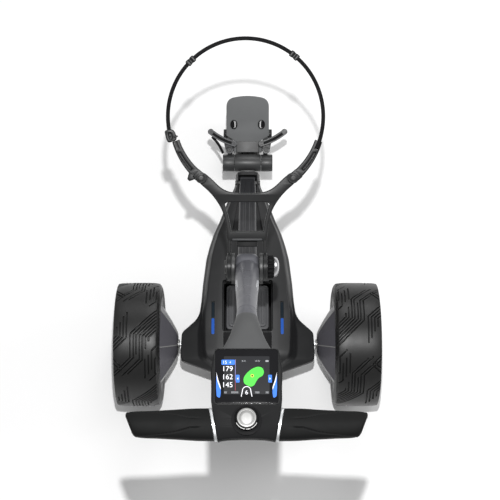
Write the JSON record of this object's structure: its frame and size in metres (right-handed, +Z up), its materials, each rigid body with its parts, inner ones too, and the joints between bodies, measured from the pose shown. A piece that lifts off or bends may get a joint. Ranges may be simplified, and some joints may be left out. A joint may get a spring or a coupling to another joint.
{
  "type": "electric golf trolley",
  "caption": "Folding three-wheel powered golf trolley with wide rear tyres, battery chassis, inclined frame, bag hoop and a console handle with a cross grip.",
  "frame": {"origin": "on the ground, under the middle of the overall box", "axes": "+Z up, +Y forward towards the small front wheel, +X to the right of the person who holds the handle"},
  "size_m": [0.588, 1.0265, 0.947],
  "materials": {
    "accent": "blue insert",
    "battery": "matt dark grey moulding",
    "glass": "glossy black screen",
    "grip": "soft matt rubber",
    "plate": "fine-textured dark grey moulding",
    "rim": "satin graphite moulding",
    "shell": "satin black moulding",
    "steel": "plain steel",
    "strap": "woven black webbing",
    "structure": "matt black moulding",
    "trim": "satin bright metal",
    "tube": "satin graphite paint",
    "tyre": "matt black rubber"
  },
  "bodies": {
    "chassis": {"chassis_upper_shell": "shell", "chassis_lower_shell": "structure", "accent_insert_left": "accent", "accent_insert_right": "accent", "battery_tray": "structure", "axle_bearing_left": "steel", "axle_bearing_right": "steel", "drive_motor": "steel", "gearbox_case": "steel", "front_hinge_barrel": "structure", "front_pivot_pin": "steel", "spine_pivot_pin": "steel"},
    "battery": {"battery_case": "battery", "battery_lid": "battery"},
    "motor_rotor": {"motor_pinion": "steel"},
    "drive_axle": {"rear_axle": "steel", "drive_gear": "steel"},
    "left_wheel": {"left_tyre": "tyre", "left_rim": "rim", "left_wheel_cover": "rim"},
    "right_wheel": {"right_tyre": "tyre", "right_rim": "rim", "right_wheel_cover": "rim"},
    "left_button": {"left_release_button": "structure"},
    "right_button": {"right_release_button": "structure"},
    "front_carrier": {"front_fork": "structure", "front_axle": "structure", "bag_base_plate": "plate", "lower_strap": "strap"},
    "front_wheel": {"front_tyre": "tyre", "front_rim": "rim"},
    "left_lower_arm": {"lower_arm_left": "structure"},
    "right_lower_arm": {"lower_arm_right": "structure"},
    "spine": {"spine_tube": "tube", "hinge_clevis": "structure", "hinge_bolt": "steel"},
    "knob": {"hinge_knob": "structure"},
    "upper_support": {"bag_support": "structure", "upper_arm_screw_left": "steel", "upper_arm_screw_right": "steel", "strap_top": "strap", "strap_left": "strap", "strap_right": "strap", "strap_keeper_left": "structure", "strap_keeper_right": "structure"},
    "left_upper_arm": {"upper_arm_left": "structure", "strap_buckle": "structure"},
    "right_upper_arm": {"upper_arm_right": "structure"},
    "handle": {"handle_knuckle": "structure", "handle_stem": "tube", "console_base": "structure", "console_shell": "shell", "display_glass": "glass", "handle_cross_tube": "steel", "grip_left": "grip", "grip_right": "grip", "grip_trim_left": "trim", "grip_trim_right": "trim"},
    "dial": {"dial_collar": "structure"},
    "dial_button": {"dial_cap": "trim"}
  },
  "joints": [
    {"name": "axle_spin", "type": "hinge", "parent": "chassis", "child": "drive_axle", "pos_m": [0, -0.1272, 0.14], "axis": [1, 0, 0], "continuous": true},
    {"name": "motor_spin", "type": "hinge", "parent": "chassis", "child": "motor_rotor", "pos_m": [0, -0.1668, 0.14], "axis": [1, 0, 0], "continuous": true},
    {"name": "left_wheel_spin", "type": "hinge", "parent": "drive_axle", "child": "left_wheel", "pos_m": [0, -0.1272, 0.14], "axis": [1, 0, 0], "continuous": true},
    {"name": "right_wheel_spin", "type": "hinge", "parent": "drive_axle", "child": "right_wheel", "pos_m": [0, -0.1272, 0.14], "axis": [1, 0, 0], "continuous": true},
    {"name": "left_release_push", "type": "slide", "parent": "left_wheel", "child": "left_button", "axis": [1, 0, 0], "range_m": [0, 0.003]},
    {"name": "right_release_push", "type": "slide", "parent": "right_wheel", "child": "right_button", "axis": [-1, 0, 0], "range_m": [0, 0.003]},
    {"name": "battery_lift", "type": "slide", "parent": "chassis", "child": "battery", "axis": [0, 0, -1], "range_m": [-0.1, 0]},
    {"name": "front_fold", "type": "hinge", "parent": "chassis", "child": "front_carrier", "pos_m": [0, 0.2998, 0.194], "axis": [1, 0, 0], "range_deg": [-90, 0]},
    {"name": "front_wheel_spin", "type": "hinge", "parent": "front_carrier", "child": "front_wheel", "pos_m": [0, 0.4238, 0.09], "axis": [1, 0, 0], "continuous": true},
    {"name": "left_lower_arm_swing", "type": "hinge", "parent": "front_carrier", "child": "left_lower_arm", "pos_m": [-0.043, 0.3221, 0.21868], "axis": [0, 0.4384, -0.8988], "range_deg": [-10, 10], "deforming": ["lower_strap"]},
    {"name": "right_lower_arm_swing", "type": "hinge", "parent": "front_carrier", "child": "right_lower_arm", "pos_m": [0.043, 0.3221, 0.21868], "axis": [0, -0.4384, 0.8988], "range_deg": [-10, 10]},
    {"name": "spine_fold", "type": "hinge", "parent": "chassis", "child": "spine", "pos_m": [0, 0.2478, 0.196], "axis": [1, 0, 0], "range_deg": [0, 36]},
    {"name": "handle_fold", "type": "hinge", "parent": "spine", "child": "handle", "pos_m": [0, -0.1082, 0.62], "axis": [1, 0, 0], "range_deg": [-146, 0]},
    {"name": "bag_support_fold", "type": "hinge", "parent": "spine", "child": "upper_support", "pos_m": [0, -0.1082, 0.62], "axis": [1, 0, 0], "range_deg": [-72, 0]},
    {"name": "hinge_knob_turn", "type": "hinge", "parent": "spine", "child": "knob", "pos_m": [0.045, -0.1082, 0.62], "axis": [1, 0, 0], "range_deg": [0, 270]},
    {"name": "left_upper_arm_swing", "type": "hinge", "parent": "upper_support", "child": "left_upper_arm", "pos_m": [-0.089, 0.04729, 0.69584], "axis": [0, 0.4384, -0.8988], "range_deg": [-10, 10], "deforming": ["strap_left"]},
    {"name": "right_upper_arm_swing", "type": "hinge", "parent": "upper_support", "child": "right_upper_arm", "pos_m": [0.089, 0.04729, 0.69584], "axis": [0, -0.4384, 0.8988], "range_deg": [-10, 10], "deforming": ["strap_right"]},
    {"name": "dial_turn", "type": "hinge", "parent": "handle", "child": "dial", "pos_m": [0, -0.4792, 0.935], "axis": [0, 0, 1], "continuous": true},
    {"name": "dial_push", "type": "slide", "parent": "dial", "child": "dial_button", "axis": [0, 0, 1], "range_m": [-0.002, 0]}
  ],
  "couplings": [
    {"joint": "motor_spin", "follows": "axle_spin", "ratio": -2.6667},
    {"joint": "bag_support_fold", "follows": "handle_fold", "ratio": 0.49315}
  ]
}
